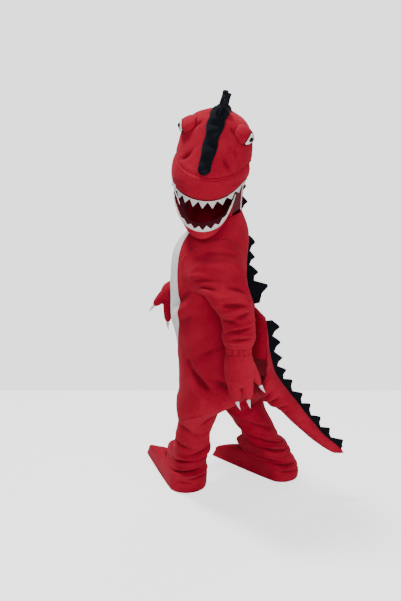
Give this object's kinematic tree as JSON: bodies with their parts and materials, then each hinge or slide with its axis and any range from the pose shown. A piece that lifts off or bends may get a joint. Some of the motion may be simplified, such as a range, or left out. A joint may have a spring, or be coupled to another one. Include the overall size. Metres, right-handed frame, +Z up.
{
  "type": "t-rex costume",
  "caption": "Hooded dinosaur suit of red fleece with mitts, foot covers, a stuffed tail, felt teeth and claws, and black felt spikes, hollow as if worn.",
  "frame": {"origin": "between the shoulders, where the wearer's shoulders carry the suit, 0.83 m above the soles", "axes": "+Z up, the front of the suit towards -Y, the wearer's left towards +X"},
  "size_m": [0.495, 0.6364, 1.2334],
  "materials": {
    "red_fleece": "short napped fleece",
    "white_felt": "matt felt",
    "black_felt": "matt felt",
    "crimson_lining": "plain woven lining"
  },
  "bodies": {
    "root": {"body_left": "red_fleece", "body_right": "red_fleece", "foot_cover_left": "red_fleece", "foot_cover_right": "red_fleece", "sleeve_left": "red_fleece", "sleeve_right": "red_fleece", "cuff_left": "red_fleece", "cuff_right": "red_fleece", "glove_left": "red_fleece", "glove_right": "red_fleece", "claw_left_1": "white_felt", "claw_left_2": "white_felt", "claw_left_3": "white_felt", "claw_right_1": "white_felt", "claw_right_2": "white_felt", "claw_right_3": "white_felt", "belly_panel": "white_felt", "tail": "red_fleece", "hood_crown": "red_fleece", "lip_band": "red_fleece", "nape": "red_fleece", "lower_jaw": "red_fleece", "palate_lining": "crimson_lining", "throat_lining": "crimson_lining", "brow_left": "red_fleece", "brow_right": "red_fleece", "eye_left": "white_felt", "eye_right": "white_felt", "pupil_left": "black_felt", "pupil_right": "black_felt", "upper_teeth": "white_felt", "lower_teeth": "white_felt", "back_fin": "black_felt", "tail_fin": "black_felt", "neck_spikes": "black_felt", "crest_spikes": "black_felt", "crest_band": "black_felt"}
  },
  "joints": []
}
